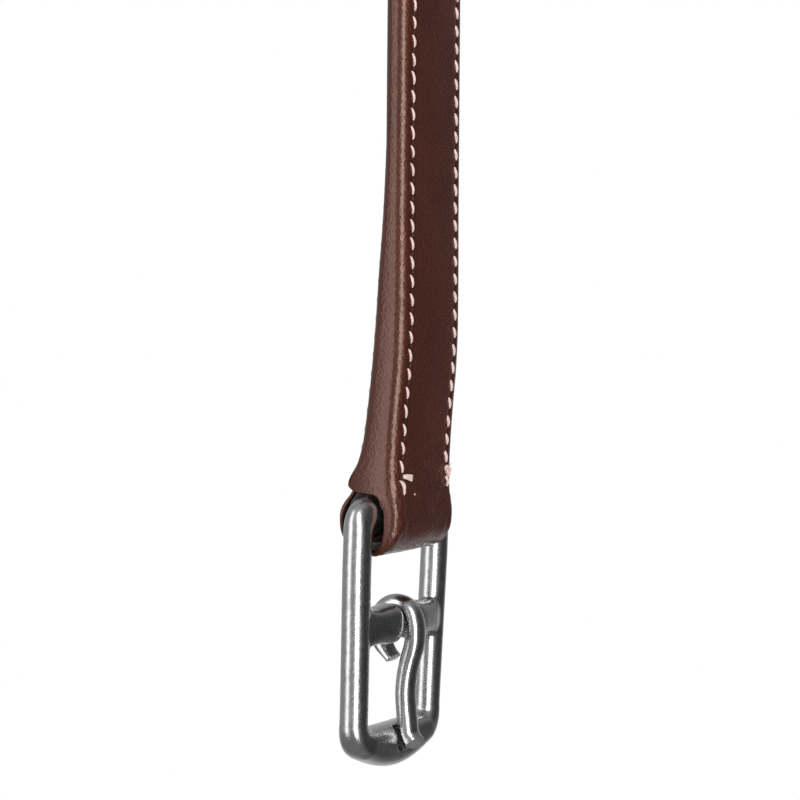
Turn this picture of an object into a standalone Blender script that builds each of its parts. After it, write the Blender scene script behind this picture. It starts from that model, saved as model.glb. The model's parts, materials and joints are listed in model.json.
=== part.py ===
"""Rolled stirrup leather with a centre-bar buckle.

A wrapped leather strap with a woven core hangs by the eye of its own roll. Its lower end is
folded round the top bar of a cast three-bar buckle and stitched back on itself.

Frame: the origin is the centre of the roll's eye. +X runs across the strap, +Z is up, and the
strap's stitched front faces -Y. Lengths below are in millimetres, scaled by MM as they are built.
"""

import math

import bmesh
import bpy
from mathutils import Matrix, Vector

MM = 0.001

# Strap: half its width, then the layers through it, from the front face inwards.
HALF_WIDTH = 12.5
LEATHER = 0.85
GAP = 0.3
CORE = 1.35
EDGE_CHAMFER = 0.85
CORE_HALF_WIDTH = 10.9
FOLD_BACK_HALF_WIDTH = 11.0
FLAP_EDGE = 6.6
BACK_STRIP_HALF_WIDTH = 6.3
CORE_FRONT = LEATHER + GAP
CORE_BACK = CORE_FRONT + CORE
SINGLE = CORE_BACK + GAP + LEATHER
DOUBLE = SINGLE + GAP + CORE + GAP + LEATHER

# Roll: the eye that the peg goes through, and the turns round it.
EYE_RADIUS = 15.0
PITCH = 4.8
STEPS_PER_TURN = 16
ROLL_STEPS = 96
OUTER_RADIUS = EYE_RADIUS + SINGLE + PITCH * ROLL_STEPS / STEPS_PER_TURN
LEAVE_ANGLE = math.radians(12)
BEND_RADIUS = 16.0
BEND_STEPS = 6
TIP_WIDTHS = (0.5, 0.82)

# Where the strap hangs straight, and the buckle's top bar in its fold.
BEND_CENTRE = (
    -(OUTER_RADIUS + BEND_RADIUS) * math.sin(LEAVE_ANGLE),
    -(OUTER_RADIUS + BEND_RADIUS) * math.cos(LEAVE_ANGLE),
)
FRONT_PLANE = BEND_CENTRE[0] + BEND_RADIUS
BAR_Y = FRONT_PLANE + 9.0
BAR_Z = -190.0

# The fold, as (height over the bar, front face from the bar, back face from the bar).
DOUBLE_SPAN = (
    (84.0, -9.0, -9.0 + DOUBLE),
    (69.0, -9.0, -2.0),
    (53.0, -9.1, -0.8),
    (43.0, -9.1, -0.1),
    (34.0, -8.7, 0.7),
    (26.0, -8.0, 1.6),
    (18.0, -7.4, 2.7),
    (12.0, -7.1, 4.0),
    (7.4, -7.15, 5.7),
)
SINGLE_END = 125.0
DOUBLE_START = 121.0
FOLD_BACK_END = 119.0
FLAP_TAPER_START = 12.0
FLAP_TAPER_END = 7.4
WALL_END = 5.8
LOOP_RADIUS = 7.6
LOOP_STEPS = 8

# Stitching.
ROW_X = 9.5
THREAD_HALF_WIDTH = 0.45
THREAD_LOW = 0.05
THREAD_HIGH = 0.35

# Buckle, from its top bar's axis.
TOP_BAR_RADIUS = 3.4
BAR_RADIUS = 3.15
SIDE_BAR_X = 16.45
SIDE_BAR_TAPER = 1.0
SIDE_BAR_THINNING = 0.2
HEIGHT_ABOVE = 4.9
LENGTH_BELOW = 55.2
LANDING_TOP = -45.6
LANDING_BOW = 26.0
LANDING_HALF_DEPTH = 4.0
CENTRE_BAR_Y = -0.7
CENTRE_BAR_Z = -23.8
NECK_RADIUS = 1.95
REST_LEAN = math.radians(1.94)
SECTION_POINTS = 16

# Tongue.
TONGUE_HALF_WIDTH = 2.45
TONGUE_HALF_THICKNESS = 2.2
EYE_CENTRELINE = 4.5


def clear_scene():
    for obj in list(bpy.data.objects):
        bpy.data.objects.remove(obj, do_unlink=True)


def collection(name):
    made = bpy.data.collections.new(name)
    bpy.context.scene.collection.children.link(made)
    return made


def material(name, color, roughness, metallic=0.0):
    made = bpy.data.materials.new(name)
    made.use_nodes = True
    shader = made.node_tree.nodes["Principled BSDF"]
    shader.inputs["Base Color"].default_value = (*color, 1.0)
    shader.inputs["Roughness"].default_value = roughness
    shader.inputs["Metallic"].default_value = metallic
    made.diffuse_color = (*color, 1.0)
    return made


def loft(name, rings, home, look, closed=False):
    """A solid through rings of points in millimetres. Points that meet are merged."""
    mesh = bmesh.new()
    rows = [[mesh.verts.new(Vector(p) * MM) for p in ring] for ring in rings]
    count = len(rings[0])
    spans = list(zip(rows, rows[1:] + rows[:1])) if closed else list(zip(rows, rows[1:]))
    for one, two in spans:
        for i in range(count):
            j = (i + 1) % count
            mesh.faces.new((one[i], one[j], two[j], two[i]))
    if not closed:
        mesh.faces.new(list(reversed(rows[0])))
        mesh.faces.new(rows[-1])
    bmesh.ops.remove_doubles(mesh, verts=mesh.verts, dist=0.00001)
    bmesh.ops.recalc_face_normals(mesh, faces=mesh.faces)
    data = bpy.data.meshes.new(name)
    mesh.to_mesh(data)
    mesh.free()
    obj = bpy.data.objects.new(name, data)
    data.materials.append(look)
    home.objects.link(obj)
    return obj


class Station:
    """One place along the strap: a point on its outer face, the way that face looks, and
    the depth through to the face behind."""

    def __init__(self, y, z, ny, nz, depth=SINGLE, flap=FLAP_EDGE, half=HALF_WIDTH, walls=True):
        self.y, self.z, self.ny, self.nz = y, z, ny, nz
        self.depth, self.flap, self.half, self.walls = depth, flap, half, walls

    def at(self, x, depth):
        return (x, self.y - self.ny * depth, self.z - self.nz * depth)


def roll_stations():
    """From the strap's tip at the eye, out through the turns to where the strap leaves them."""
    found = []
    for step in range(ROLL_STEPS, -1, -1):
        turn = 2 * math.pi * step / STEPS_PER_TURN
        radius = OUTER_RADIUS - PITCH * step / STEPS_PER_TURN
        ny, nz = -math.sin(LEAVE_ANGLE + turn), -math.cos(LEAVE_ANGLE + turn)
        found.append(Station(radius * ny, radius * nz, ny, nz))
    for station, share in zip(found, TIP_WIDTHS):
        station.half *= share
    return found


def bend_stations():
    found = []
    for step in range(1, BEND_STEPS + 1):
        angle = (math.pi / 2 - LEAVE_ANGLE) * (1 - step / BEND_STEPS)
        cy, cz = math.cos(angle), math.sin(angle)
        found.append(
            Station(BEND_CENTRE[0] + BEND_RADIUS * cy, BEND_CENTRE[1] + BEND_RADIUS * cz, -cy, -cz)
        )
    return found


def front_stations():
    """Down the straight front, over the end of the fold-back, to the side flaps' lower end."""
    found = [Station(FRONT_PLANE, BAR_Z + SINGLE_END, -1, 0)]
    found.append(Station(FRONT_PLANE, BAR_Z + DOUBLE_START, -1, 0, DOUBLE))
    for height, front, back in DOUBLE_SPAN:
        taper = (FLAP_TAPER_START - height) / (FLAP_TAPER_START - FLAP_TAPER_END)
        flap = FLAP_EDGE + (HALF_WIDTH - LEATHER - GAP - FLAP_EDGE) * max(0.0, taper)
        found.append(Station(BAR_Y + front, BAR_Z + height, -1, 0, back - front, flap))
    return found


def loop_stations():
    """Round the top bar, with no side flaps."""
    found = [
        Station(BAR_Y - 7.25, BAR_Z + WALL_END, -1, 0, walls=False),
        Station(BAR_Y - 7.5, BAR_Z + 3.0, -1, 0, walls=False),
    ]
    for step in range(LOOP_STEPS + 1):
        angle = math.pi * (1 + step / LOOP_STEPS)
        cy, cz = math.cos(angle), math.sin(angle)
        found.append(
            Station(BAR_Y + LOOP_RADIUS * cy, BAR_Z + LOOP_RADIUS * cz, cy, cz, walls=False)
        )
    return found


def fold_back_stations():
    """Up inside the back of the strap, under its flaps."""
    found = [
        Station(BAR_Y + 7.3, BAR_Z + 3.0, 1, 0, half=12.2, walls=False),
        Station(BAR_Y + 5.8, BAR_Z + 5.4, 1, 0, half=FOLD_BACK_HALF_WIDTH, walls=False),
    ]
    for height, _, back in reversed(DOUBLE_SPAN):
        found.append(
            Station(
                BAR_Y + back - LEATHER - GAP,
                BAR_Z + height,
                1,
                0,
                half=FOLD_BACK_HALF_WIDTH,
                walls=False,
            )
        )
    last = found[-1]
    found.append(
        Station(last.y, BAR_Z + FOLD_BACK_END, 1, 0, half=FOLD_BACK_HALF_WIDTH, walls=False)
    )
    return found


def cover_ring(s):
    """The cover's section: a flat front, sides turned round the strap and flaps on its back.
    Past the flaps' end it's a plain ply, whose spare points meet at its inner corners."""
    h, t, c, a = s.half, s.depth, EDGE_CHAMFER, LEATHER
    if not s.walls:
        c = GAP
        left = [(-h, a)] * 3 + [(-h, c), (-h + c, 0)]
        right = [(h - c, 0), (h, c)] + [(h, a)] * 3
        inner = [(h, a)] * 3 + [(-h, a)] * 3
        return [s.at(*p) for p in left + right + inner]
    f = s.flap * h / HALF_WIDTH
    left = [(-f, t), (-h + c, t), (-h, t - c), (-h, c), (-h + c, 0)]
    right = [(-x, d) for x, d in reversed(left)]
    inner = [(f, t - a), (h - a, t - a), (h - a, a), (-h + a, a), (-h + a, t - a), (-f, t - a)]
    return [s.at(*p) for p in left + right + inner]


def band_ring(s, low_x, high_x, near, far):
    return [s.at(low_x, near), s.at(high_x, near), s.at(high_x, far), s.at(low_x, far)]


def thread_ring(s, x, low, high):
    return [
        s.at(x - THREAD_HALF_WIDTH, low),
        s.at(x + THREAD_HALF_WIDTH, low),
        s.at(x, high),
    ]


def build_strap(home):
    cover_look = material("cover_leather", (0.043, 0.015, 0.011), 0.42)
    lining_look = material("lining_leather", (0.05, 0.02, 0.014), 0.6)
    core_look = material("core_webbing", (0.02, 0.018, 0.018), 0.8)
    thread_look = material("thread", (0.72, 0.58, 0.52), 0.7)

    hanging = roll_stations() + bend_stations() + front_stations()
    loop, back = loop_stations(), fold_back_stations()
    loft("cover_leather", [cover_ring(s) for s in hanging + loop + back], home, cover_look)

    cored = hanging[2:] + loop + back[:-1]
    loft(
        "core_webbing",
        [
            band_ring(s, -CORE_HALF_WIDTH, CORE_HALF_WIDTH, CORE_FRONT, CORE_BACK)
            for s in cored
        ],
        home,
        core_look,
    )

    half = BACK_STRIP_HALF_WIDTH
    loft(
        "back_strip",
        [band_ring(s, -half, half, s.depth - LEATHER, s.depth) for s in hanging[2:-2]],
        home,
        lining_look,
    )

    for side, x in (("left", -ROW_X), ("right", ROW_X)):
        loft(
            "front_thread_" + side,
            [thread_ring(s, x, -THREAD_LOW, -THREAD_HIGH) for s in hanging[3:] + loop[:1]],
            home,
            thread_look,
        )
        loft(
            "back_thread_" + side,
            [
                thread_ring(s, x, s.depth + THREAD_LOW, s.depth + THREAD_HIGH)
                for s in hanging[3:-2]
            ],
            home,
            thread_look,
        )
    build_back_tacks(home, thread_look)
    build_bar_lining(home, lining_look)
    build_fold_wedge(home, lining_look)
    build_roll_keeper(home)


def build_back_tacks(home, look):
    """The turned-over stitches that end each row, beside the row on the front face."""
    for side, low_x, high_x, low_z, high_z, front in (
        ("left", -8.85, -5.3, 8.5, 9.8, -7.2),
        ("right", 10.05, 11.4, 9.6, 11.8, -7.2),
    ):
        rings = []
        for z in (low_z, high_z):
            y = BAR_Y + front - THREAD_LOW
            rings.append(
                [
                    (low_x, y - 0.5, BAR_Z + z),
                    (high_x, y - 0.5, BAR_Z + z),
                    (high_x, y, BAR_Z + z),
                    (low_x, y, BAR_Z + z),
                ]
            )
        loft("back_tack_" + side, rings, home, look)


def build_bar_lining(home, look):
    """A thin leather liner between the core and the bar, under the bar."""
    outer, inner = LOOP_RADIUS - CORE_BACK - GAP, TOP_BAR_RADIUS + GAP
    rings = []
    for step in range(LOOP_STEPS + 1):
        angle = math.pi * (1 + step / LOOP_STEPS)
        cy, cz = math.cos(angle), math.sin(angle)
        rings.append(
            [
                (x, BAR_Y + r * cy, BAR_Z + r * cz)
                for x, r in (
                    (-CORE_HALF_WIDTH, outer),
                    (CORE_HALF_WIDTH, outer),
                    (CORE_HALF_WIDTH, inner),
                    (-CORE_HALF_WIDTH, inner),
                )
            ]
        )
    loft("bar_lining", rings, home, look)


def build_fold_wedge(home, look):
    """Fills the wedge between the two runs of the core, over the bar."""
    rings = []
    for height, front, back in reversed(DOUBLE_SPAN[2:]):
        near = BAR_Y + front + CORE_BACK + GAP
        far = BAR_Y + back - LEATHER - GAP - CORE_BACK - GAP
        half, z = CORE_HALF_WIDTH, BAR_Z + height
        if far - near > 0.4:
            rings.append([(-half, near, z), (half, near, z), (half, far, z), (-half, far, z)])
    loft("fold_wedge", rings, home, look)


def build_roll_keeper(home):
    """A leather keeper round the turns, near where the strap leaves them."""
    look = material("keeper_leather", (0.045, 0.017, 0.012), 0.45)
    angle = LEAVE_ANGLE + math.radians(25)
    out = Vector((0, -math.sin(angle), -math.cos(angle)))
    along = Vector((0, -math.cos(angle), math.sin(angle)))
    across = Vector((1, 0, 0))
    thick, half_length, half_x = 1.2, 4.5, HALF_WIDTH + 0.4
    low, high = EYE_RADIUS + 1.8, OUTER_RADIUS + 0.3
    rings = []
    for sx, r, sr in ((-1, low, -1), (1, low, -1), (1, high, 1), (-1, high, 1)):
        inside = across * sx * half_x + out * r
        outside = across * sx * (half_x + thick) + out * (r + sr * thick)
        rings.append(
            [
                tuple(inside - along * half_length),
                tuple(inside + along * half_length),
                tuple(outside + along * half_length),
                tuple(outside - along * half_length),
            ]
        )
    loft("roll_keeper", rings, home, look, closed=True)


def section(centre, across, half_across, half_deep, square=1.0):
    """A rounded section round a centre: square below 1 fills its corners out."""
    points = []
    for i in range(SECTION_POINTS):
        angle = 2 * math.pi * i / SECTION_POINTS
        c, s = math.cos(angle), math.sin(angle)
        c = math.copysign(abs(c) ** square, c)
        s = math.copysign(abs(s) ** square, s)
        points.append(
            (
                centre[0] + across[0] * half_across * c,
                half_deep * s,
                centre[1] + across[1] * half_across * c,
            )
        )
    return points


def side_bar(z):
    """A side bar's inner and outer x at a height: it leans in and thins towards the landing."""
    share = min(1.0, max(0.0, (-10.0 - z) / 32.0))
    middle, radius = SIDE_BAR_X - SIDE_BAR_TAPER * share, BAR_RADIUS - SIDE_BAR_THINNING * share
    return middle - radius, middle + radius


def frame_outline():
    """One half of the buckle's ring as (inner point, outer point, half depth, squareness),
    from the top bar's middle round a corner, down a side bar and along the landing."""
    inner_x, outer_x = side_bar(0.0)
    r, top = BAR_RADIUS, TOP_BAR_RADIUS
    found = [((x, -top), (x, top), top, 1.0) for x in (0.0, 11.0)]
    inner_corner, outer_corner = 2.0, 5.5
    for step in range(5):
        turn = math.pi / 2 * (1 - step / 4)
        c, s = math.cos(turn), math.sin(turn)
        found.append(
            (
                (
                    inner_x - inner_corner * (1 - c),
                    -top - inner_corner * (1 - s),
                ),
                (
                    outer_x - outer_corner * (1 - c),
                    HEIGHT_ABOVE - outer_corner * (1 - s),
                ),
                r,
                1.0,
            )
        )
    for z in (-10.0, -20.0, -31.0, -39.0):
        inner_x, outer_x = side_bar(z)
        found.append(((inner_x, z), (outer_x, z), r, 1.0))
    inner_x, outer_x = side_bar(LANDING_TOP)
    corner, start = 9.0, 13.04
    slope = math.atan(start / LANDING_BOW) - math.pi / 2
    low = -LENGTH_BELOW + start * start / (2 * LANDING_BOW)
    for step in range(5):
        turn, inner_turn = slope * step / 4, -math.pi / 2 * step / 4
        found.append(
            (
                (
                    inner_x - 1.5 + 1.5 * math.cos(inner_turn),
                    LANDING_TOP + 1.5 + 1.5 * math.sin(inner_turn),
                ),
                (
                    outer_x - corner + corner * math.cos(turn),
                    low + corner * (math.sin(turn) - math.sin(slope)),
                ),
                r + (LANDING_HALF_DEPTH - r) * step / 5,
                1.0 - 0.05 * step,
            )
        )
    for x in (9.5, 6.0, 3.0, 0.0):
        bottom = -LENGTH_BELOW + x * x / (2 * LANDING_BOW)
        found.append(((x * 0.8, LANDING_TOP), (x, bottom), LANDING_HALF_DEPTH, 0.8))
    return found


def build_frame(home, cutters):
    look = material("buckle_steel", (0.62, 0.62, 0.62), 0.22, 1.0)
    half = frame_outline()
    whole = half + [
        ((-inner[0], inner[1]), (-outer[0], outer[1]), deep, square)
        for inner, outer, deep, square in reversed(half[1:-1])
    ]
    rings = []
    for inner, outer, deep, square in whole:
        span = Vector(outer) - Vector(inner)
        middle = (Vector(outer) + Vector(inner)) / 2
        rings.append(section(middle, span.normalized(), span.length / 2, deep, square))
    frame = loft("buckle_frame", rings, home, look, closed=True)

    stations = [(15.0, 4.3, 2.4, 0.4), (13.0, 3.8, 2.9, 0.4), (10.5, 3.8, 3.3, 0.45)]
    stations += [(6.5, 4.3, 3.9, 0.5), (4.5, 4.4, 4.1, 0.6), (3.6, 4.2, 4.0, 0.6)]
    stations += [(3.1, 3.5, 3.4, 0.5), (2.9, NECK_RADIUS, NECK_RADIUS, 0.0)]
    rings = []
    for x, high, deep, drop in stations + [(-x, *rest) for x, *rest in reversed(stations)]:
        square = 0.75 if high > 3.3 else 1.0
        rings.append(
            [
                (x, CENTRE_BAR_Y + y, CENTRE_BAR_Z + drop + z)
                for z, y, _ in section((0, 0), (1, 0), high, deep, square)
            ]
        )
    bar = loft("centre_bar_form", rings, cutters, look)

    notch_half, floor, low, high = TONGUE_HALF_WIDTH + 0.4, -1.7, -51.6, -40.0
    bpy.ops.mesh.primitive_cube_add(size=1)
    notch = bpy.context.object
    notch.name = "tongue_notch_form"
    for holder in list(notch.users_collection):
        holder.objects.unlink(notch)
    cutters.objects.link(notch)
    for vertex in notch.data.vertices:
        x, y, z = (0 if v < 0 else 1 for v in vertex.co)
        vertex.co = (
            MM * notch_half * (2 * x - 1),
            MM * (floor if y else -10.0),
            MM * (high if z else low),
        )
    rounding = notch.modifiers.new("rounding", "BEVEL")
    rounding.width = 0.6 * MM
    rounding.segments = 2
    rounding.limit_method = "ANGLE"

    for other, operation in ((bar, "UNION"), (notch, "DIFFERENCE")):
        other.hide_render = True
        other.display_type = "WIRE"
        cut = frame.modifiers.new(other.name, "BOOLEAN")
        cut.solver = "EXACT"
        cut.operation = operation
        cut.object = other
    for obj in (frame, bar, notch):
        obj.location = (0, BAR_Y * MM, BAR_Z * MM)
        obj.rotation_euler = (REST_LEAN, 0, 0)


def tongue_path():
    """The tongue's middle line in its own plane, from its tail, up round the neck and down
    to its cut end: an arc for the eye, and a smooth curve through points for the rest."""
    tail = [(0.0, -31.4), (1.6, -29.9), (2.9, -28.1)]
    eye = []
    for step in range(9):
        angle = math.radians(-30 + 230 * step / 8)
        eye.append(
            (
                CENTRE_BAR_Y + EYE_CENTRELINE * math.cos(angle),
                CENTRE_BAR_Z + EYE_CENTRELINE * math.sin(angle),
            )
        )
    shank = [(-5.2, -28.4), (-3.95, -33.0), (-3.5, -38.2), (-4.1, -44.0), (-4.8, -47.8), (-6.1, -49.5)]
    nodes = [Vector(p) for p in tail + eye + shank]
    points = []
    for i in range(len(nodes) - 1):
        before = nodes[max(i - 1, 0)]
        one, two = nodes[i], nodes[i + 1]
        after = nodes[min(i + 2, len(nodes) - 1)]
        for part in (0.0, 0.5):
            points.append(
                0.5
                * (
                    2 * one
                    + (two - before) * part
                    + (2 * before - 5 * one + 4 * two - after) * part**2
                    + (3 * one - before - 3 * two + after) * part**3
                )
            )
    return points + [nodes[-1]]


def build_tongue(home):
    look = material("tongue_steel", (0.62, 0.62, 0.62), 0.22, 1.0)
    path = tongue_path()
    rings = []
    w, t, c = TONGUE_HALF_WIDTH, TONGUE_HALF_THICKNESS, 1.35
    outline = [(-w, -t + c), (-w, t - c), (-w + c * 0.3, t - c * 0.3), (-w + c, t)]
    outline += [(w - c, t), (w - c * 0.3, t - c * 0.3), (w, t - c), (w, -t + c)]
    outline += [(w - c * 0.3, -t + c * 0.3), (w - c, -t), (-w + c, -t)]
    outline += [(-w + c * 0.3, -t + c * 0.3)]
    for i, point in enumerate(path):
        along = (path[min(i + 1, len(path) - 1)] - path[max(i - 1, 0)]).normalized()
        side = Vector((-along[1], along[0]))
        rings.append(
            [
                (
                    x,
                    point[0] + side[0] * d - CENTRE_BAR_Y,
                    point[1] + side[1] * d - CENTRE_BAR_Z,
                )
                for x, d in outline
            ]
        )
    tongue = loft("buckle_tongue", rings, home, look)
    lean = Matrix.Rotation(REST_LEAN, 4, "X")
    pivot = Vector((0, BAR_Y, BAR_Z)) + lean @ Vector((0, CENTRE_BAR_Y, CENTRE_BAR_Z))
    tongue.location = pivot * MM
    tongue.rotation_euler = (REST_LEAN, 0, 0)


def main():
    clear_scene()
    home = collection("stirrup_leather")
    cutters = collection("buckle_forms")
    build_strap(home)
    build_frame(home, cutters)
    build_tongue(home)


main()
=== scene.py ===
import json
import math
import random

import bmesh
import bpy
import numpy as np
from mathutils import Matrix, Vector, noise


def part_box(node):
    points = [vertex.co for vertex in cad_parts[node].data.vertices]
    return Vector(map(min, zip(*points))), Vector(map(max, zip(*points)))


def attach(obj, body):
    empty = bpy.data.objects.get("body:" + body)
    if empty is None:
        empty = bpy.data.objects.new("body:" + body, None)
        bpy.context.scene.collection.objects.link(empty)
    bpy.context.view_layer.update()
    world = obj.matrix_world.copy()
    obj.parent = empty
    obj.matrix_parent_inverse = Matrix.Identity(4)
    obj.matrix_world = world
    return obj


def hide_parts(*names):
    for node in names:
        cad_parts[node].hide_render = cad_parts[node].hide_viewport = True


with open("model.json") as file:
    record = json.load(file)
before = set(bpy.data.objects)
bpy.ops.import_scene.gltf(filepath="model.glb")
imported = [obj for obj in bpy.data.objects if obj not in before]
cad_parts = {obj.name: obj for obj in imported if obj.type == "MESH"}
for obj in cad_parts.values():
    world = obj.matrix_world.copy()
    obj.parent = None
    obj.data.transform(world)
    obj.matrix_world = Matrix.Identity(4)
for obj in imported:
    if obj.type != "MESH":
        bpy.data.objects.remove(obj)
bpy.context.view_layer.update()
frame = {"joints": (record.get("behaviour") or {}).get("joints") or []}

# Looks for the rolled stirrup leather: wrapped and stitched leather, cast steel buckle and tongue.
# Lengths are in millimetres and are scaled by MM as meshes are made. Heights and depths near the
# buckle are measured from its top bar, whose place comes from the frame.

MM = 0.001

JOINTS = {joint["name"]: joint for joint in frame["joints"]}
BAR_Y, BAR_Z = (v / MM for v in JOINTS["buckle_swing"]["pos_m"][1:])
PIVOT = Vector(JOINTS["tongue_pivot"]["pos_m"]) / MM

# Strap section: half width, and the layers through it from the front face inwards.
HALF_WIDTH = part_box("cover_leather")[1].x / MM
LEATHER = 0.85
GAP = 0.3
CORE = 1.35
SINGLE = 2 * LEATHER + 2 * GAP + CORE
DOUBLE = SINGLE + 2 * GAP + CORE + LEATHER
CORE_FRONT = LEATHER + GAP
CORE_BACK = CORE_FRONT + CORE
CORE_HALF = 10.9
FOLD_BACK_HALF = 11.0
FLAP_EDGE = 6.6
BACK_STRIP_HALF = 6.3
FRONT_CORNER = 3.0
BACK_CORNER = 2.4

# Roll and bend, as in the frame's strap.
EYE_RADIUS = 15.0
PITCH = 4.8
TURNS = 6
OUTER_RADIUS = EYE_RADIUS + SINGLE + PITCH * TURNS
LEAVE_ANGLE = math.radians(12)
BEND_RADIUS = 16.0
BEND_Y = -(OUTER_RADIUS + BEND_RADIUS) * math.sin(LEAVE_ANGLE)
BEND_Z = -(OUTER_RADIUS + BEND_RADIUS) * math.cos(LEAVE_ANGLE)
TIP_LENGTH = 12.0
TIP_WIDTH = 0.42

# The fold over the bar, as (height, face) from the bar's axis.
FRONT_FACE = (
    (3.0, -7.5), (5.8, -7.25), (7.4, -7.15), (12.0, -7.1), (18.0, -7.4), (26.0, -8.0),
    (34.0, -8.7), (43.0, -9.05), (53.0, -9.1), (69.0, -9.0), (140.0, -9.0),
)
BACK_FACE = (
    (7.4, 5.7), (12.0, 4.0), (18.0, 2.7), (26.0, 1.6), (34.0, 0.7), (43.0, -0.1),
    (53.0, -0.8), (69.0, -2.0), (84.0, -9.0 + DOUBLE), (120.5, -9.0 + DOUBLE),
    (125.5, -9.0 + SINGLE), (140.0, -9.0 + SINGLE),
)
# Where the side wall ends over and round the bar, as (height, depth from the front face).
WALL_EDGE = (
    (-1.0, 4.0), (0.0, 4.0), (2.0, 4.4), (3.2, 4.8), (4.4, 5.2), (5.1, 5.7), (5.45, 6.8),
    (5.6, 8.4), (5.8, 10.8), (6.2, 11.8), (6.8, 12.6), (7.4, 12.9),
)
# The wall's depth round the loop, as (angle round the bar from the back, depth).
LOOP_WALL = ((180, 4.0), (205, 3.6), (228, 2.8), (246, 1.8), (262, LEATHER))
WALL_TOP_DEPTH = 12.85
# How much painted shade the side wall's rim gets where it opens round the bar.
RIM_SHADE = 0.9
FLAP_FULL = 12.0
FLAP_GONE = 7.4
LOOP_RADIUS = 7.6
LOOP_TOP = 3.0

# Stitching: where the left (-1) and right (1) rows run and end, and the thread.
ROW_X = {
    -1: ((8.0, 10.3), (20.0, 9.9), (80.0, 9.9), (135.0, 9.35)),
    1: ((8.0, 8.6), (40.0, 8.8)),
}
ROW_END = {-1: 9.4, 1: 11.4}
STITCH = 4.0
SLANT = {-1: 0.75, 1: 1.1}
THREAD_RADIUS = 0.36
SEWN_TO = 14.0
NEAR_BUCKLE = 150.0

# Buckle, from its top bar's axis, in its own leaning plane.
TOP_BAR_RADIUS = 3.4
BAR_RADIUS = 3.15
SIDE_BAR_X = 16.45
SIDE_BAR_TAPER = 1.0
SIDE_BAR_THINNING = 0.2
HEIGHT_ABOVE = 4.9
TOP_CORNER = 5.5
TOP_INNER_CORNER = 2.0
LANDING_CORNER = 9.0
LANDING_CORNER_END = 13.04
LANDING_INNER_CORNER = 1.5
LANDING_SQUARENESS = 0.78
LENGTH_BELOW = 55.2
LANDING_TOP = -45.6
LANDING_BOW = 26.0
LANDING_HALF_DEPTH = 4.0
CENTRE_BAR_Y = -0.7
CENTRE_BAR_Z = -23.8
NECK_RADIUS = 1.95
REST_LEAN = math.radians(1.94)
TONGUE_HALF_WIDTH = 2.45
TONGUE_HALF_THICKNESS = 2.2
EYE_CENTRELINE = 4.5

MERGE = 0.004
LUCK = random.Random(11)


# ---------------------------------------------------------------- small helpers


def eased(points, place):
    """The value at a place on a smooth curve through (place, value) points, with no overshoot."""
    places, values = zip(*points)
    if place <= places[0]:
        return values[0]
    if place >= places[-1]:
        return values[-1]
    i = next(k for k in range(len(places) - 1) if place <= places[k + 1])
    slopes = [
        (values[k + 1] - values[k]) / (places[k + 1] - places[k]) for k in range(len(places) - 1)
    ]

    def tangent(k):
        if k == 0 or k == len(slopes) or slopes[k - 1] * slopes[k] <= 0:
            return 0.0
        return 2 * slopes[k - 1] * slopes[k] / (slopes[k - 1] + slopes[k])

    span = places[i + 1] - places[i]
    t = (place - places[i]) / span
    return (
        (2 * t**3 - 3 * t**2 + 1) * values[i]
        + (t**3 - 2 * t**2 + t) * span * tangent(i)
        + (3 * t**2 - 2 * t**3) * values[i + 1]
        + (t**3 - t**2) * span * tangent(i + 1)
    )


def step_between(low, high, value):
    t = min(1.0, max(0.0, (value - low) / (high - low)))
    return t * t * (3 - 2 * t)


def through(nodes, parts):
    """A smooth line of points through the given ones."""
    line = []
    for i in range(len(nodes) - 1):
        before, after = nodes[max(i - 1, 0)], nodes[min(i + 2, len(nodes) - 1)]
        one, two = nodes[i], nodes[i + 1]
        for part in range(parts):
            t = part / parts
            line.append(
                0.5
                * (
                    2 * one
                    + (two - before) * t
                    + (2 * before - 5 * one + 4 * two - after) * t**2
                    + (3 * one - before - 3 * two + after) * t**3
                )
            )
    return line + [nodes[-1]]


def scaled(color, share, lift=0.0):
    return tuple(c * share + lift for c in color)


def bump(value, width):
    return math.exp(-((value / width) ** 2))


class Shape:
    """Gathers rings of points, in millimetres, into one mesh object."""

    def __init__(self):
        self.points, self.faces, self.shade, self.looks = [], [], [], []

    def tube(self, rings, closed=False, shades=None, look=0):
        """Skins rings of equal length. Open ends get a cap."""
        start, count = len(self.points), len(rings[0])
        for r, ring in enumerate(rings):
            self.points += ring
            self.shade += shades[r] if shades else [0.0] * count
        last = len(rings) if closed else len(rings) - 1
        made = len(self.faces)
        for r in range(last):
            one, two = start + r * count, start + (r + 1) % len(rings) * count
            for i in range(count):
                j = (i + 1) % count
                self.faces.append((one + i, one + j, two + j, two + i))
        if not closed:
            self.faces.append(tuple(range(start + count - 1, start - 1, -1)))
            end = start + (len(rings) - 1) * count
            self.faces.append(tuple(range(end, end + count)))
        self.looks += [look] * (len(self.faces) - made)

    def build(self, name, looks, sharp=50):
        data = bpy.data.meshes.new(name)
        data.from_pydata([tuple(c * MM for c in p) for p in self.points], [], self.faces)
        for look in looks:
            data.materials.append(look)
        data.polygons.foreach_set("material_index", self.looks)
        # Painted light per point: below 0 painted shade, above 0 painted highlight.
        shade = data.attributes.new("worn", "FLOAT", "POINT")
        shade.data.foreach_set("value", self.shade)
        mesh = bmesh.new()
        mesh.from_mesh(data)
        bmesh.ops.remove_doubles(mesh, verts=mesh.verts, dist=MERGE * MM)
        bmesh.ops.dissolve_degenerate(mesh, edges=mesh.edges, dist=MERGE * MM / 2)
        bmesh.ops.recalc_face_normals(mesh, faces=mesh.faces)
        mesh.to_mesh(data)
        mesh.free()
        data.shade_smooth()
        data.set_sharp_from_angle(angle=math.radians(sharp))
        made = bpy.data.objects.new(name, data)
        bpy.context.scene.collection.objects.link(made)
        return made


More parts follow.
